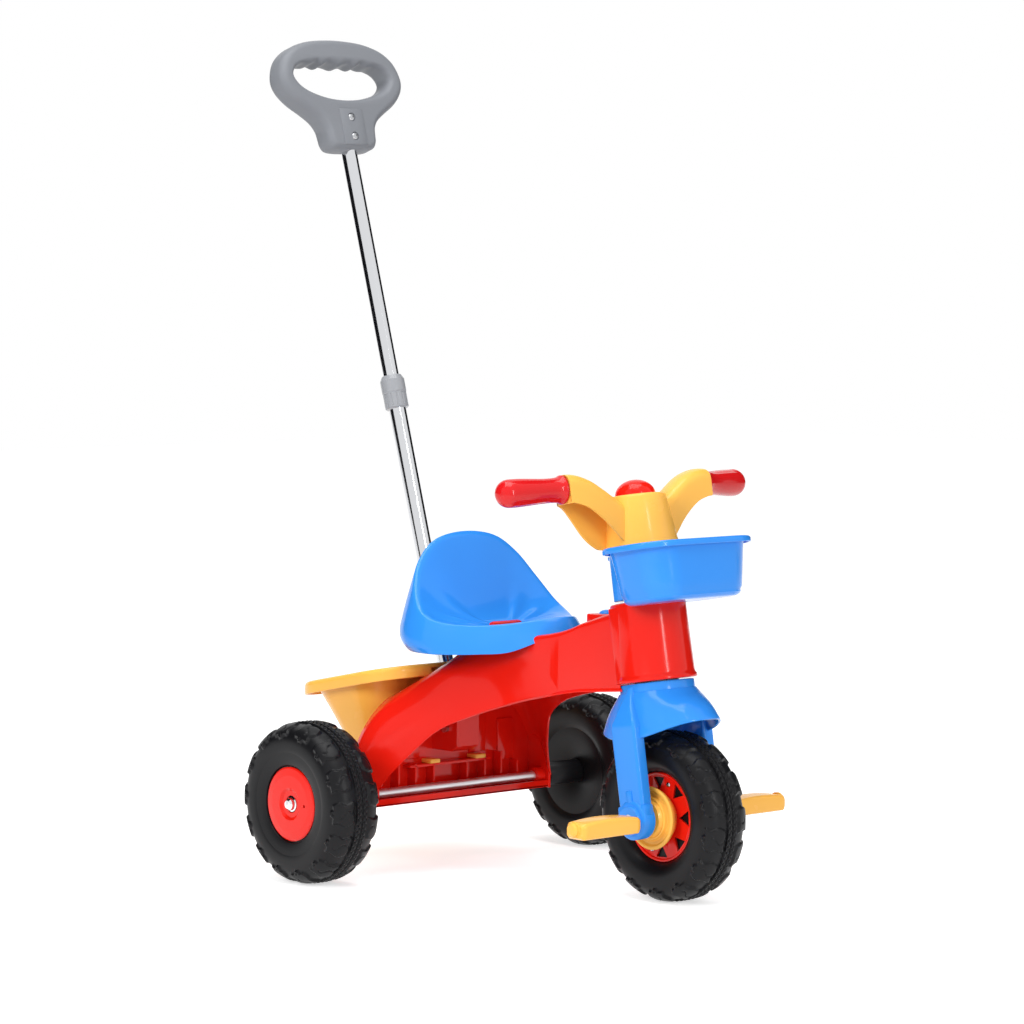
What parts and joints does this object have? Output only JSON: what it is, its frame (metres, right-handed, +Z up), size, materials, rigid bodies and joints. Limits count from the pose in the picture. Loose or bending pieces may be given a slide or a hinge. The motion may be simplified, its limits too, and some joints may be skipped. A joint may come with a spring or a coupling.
{
  "type": "toddler push along trike",
  "caption": "Toddler trike of moulded plastic with a steered, pedalled front wheel, dished seat, rear bucket, front basket and a telescopic parent push bar.",
  "frame": {"origin": "on the floor, under the middle of the overall box", "axes": "+Z up; the trike faces -Y; the rider's right is -X"},
  "size_m": [0.4682, 0.6496, 0.8999],
  "materials": {
    "body_red": "glossy moulded red",
    "disc_red": "glossy moulded red",
    "grip_red": "glossy deep red",
    "blue_plastic": "glossy moulded blue",
    "yellow_plastic": "glossy moulded yellow",
    "tyre_black": "satin blow moulded black",
    "bellows_black": "soft matt black",
    "tube_chrome": "bright plated steel",
    "steel": "zinc plated",
    "handle_grey": "matt moulded grey",
    "collar_grey": "satin moulded grey",
    "nylon_white": "natural nylon"
  },
  "bodies": {
    "chassis": {"body_shell": "body_red", "rear_axle": "tube_chrome", "axle_washers": "nylon_white", "axle_caps": "tube_chrome", "head_bushes": "nylon_white", "spine_plug": "blue_plastic", "seat": "blue_plastic", "seat_screws": "steel", "rear_bucket": "yellow_plastic", "push_tube_lower": "tube_chrome", "push_collar": "collar_grey", "socket_screw": "steel"},
    "push_bar": {"push_tube_upper": "tube_chrome", "push_handle": "handle_grey", "handle_screws": "steel"},
    "rear_wheel_right": {"rear_tyre_right": "tyre_black", "rear_disc_right": "disc_red"},
    "rear_wheel_left": {"rear_tyre_left": "tyre_black", "rear_disc_left": "disc_red"},
    "steering": {"fork": "blue_plastic", "foot_bushes": "nylon_white", "steering_rod": "steel", "rod_nut": "steel", "handlebar": "yellow_plastic", "grip_right": "grip_red", "grip_left": "grip_red", "front_basket": "blue_plastic", "squeaker": "bellows_black"},
    "horn": {"horn_button": "grip_red"},
    "front_wheel": {"front_tyre": "tyre_black", "front_disc_right": "disc_red", "front_disc_left": "disc_red", "front_hub_right": "yellow_plastic", "front_hub_left": "yellow_plastic", "disc_screws": "steel", "crank": "steel", "pedal_caps": "yellow_plastic"},
    "right_pedal": {"pedal_right": "yellow_plastic"},
    "left_pedal": {"pedal_left": "yellow_plastic"}
  },
  "joints": [
    {"name": "push_bar_slide", "type": "slide", "parent": "chassis", "child": "push_bar", "axis": [0, 0.279, 0.9603], "range_m": [-0.24, 0]},
    {"name": "rear_spin_right", "type": "hinge", "parent": "chassis", "child": "rear_wheel_right", "pos_m": [-0.2015, 0.09865, 0.0855], "axis": [1, 0, 0], "continuous": true},
    {"name": "rear_spin_left", "type": "hinge", "parent": "chassis", "child": "rear_wheel_left", "pos_m": [0.2015, 0.09865, 0.0855], "axis": [1, 0, 0], "continuous": true},
    {"name": "steer", "type": "hinge", "parent": "chassis", "child": "steering", "pos_m": [0, -0.23735, 0.0875], "axis": [0, 0.1668, 0.986], "range_deg": [-40, 40]},
    {"name": "horn_press", "type": "slide", "parent": "steering", "child": "horn", "axis": [0, -0.1668, -0.986], "range_m": [0, 0.003], "stiffness_N_per_m": 400, "springref_m": -0.002},
    {"name": "front_spin", "type": "hinge", "parent": "steering", "child": "front_wheel", "pos_m": [0, -0.23735, 0.0875], "axis": [1, 0, 0], "continuous": true},
    {"name": "right_pedal_spin", "type": "hinge", "parent": "front_wheel", "child": "right_pedal", "pos_m": [-0.122, -0.26508, 0.0914], "axis": [1, 0, 0], "continuous": true},
    {"name": "left_pedal_spin", "type": "hinge", "parent": "front_wheel", "child": "left_pedal", "pos_m": [0.144, -0.20962, 0.0836], "axis": [1, 0, 0], "continuous": true}
  ]
}
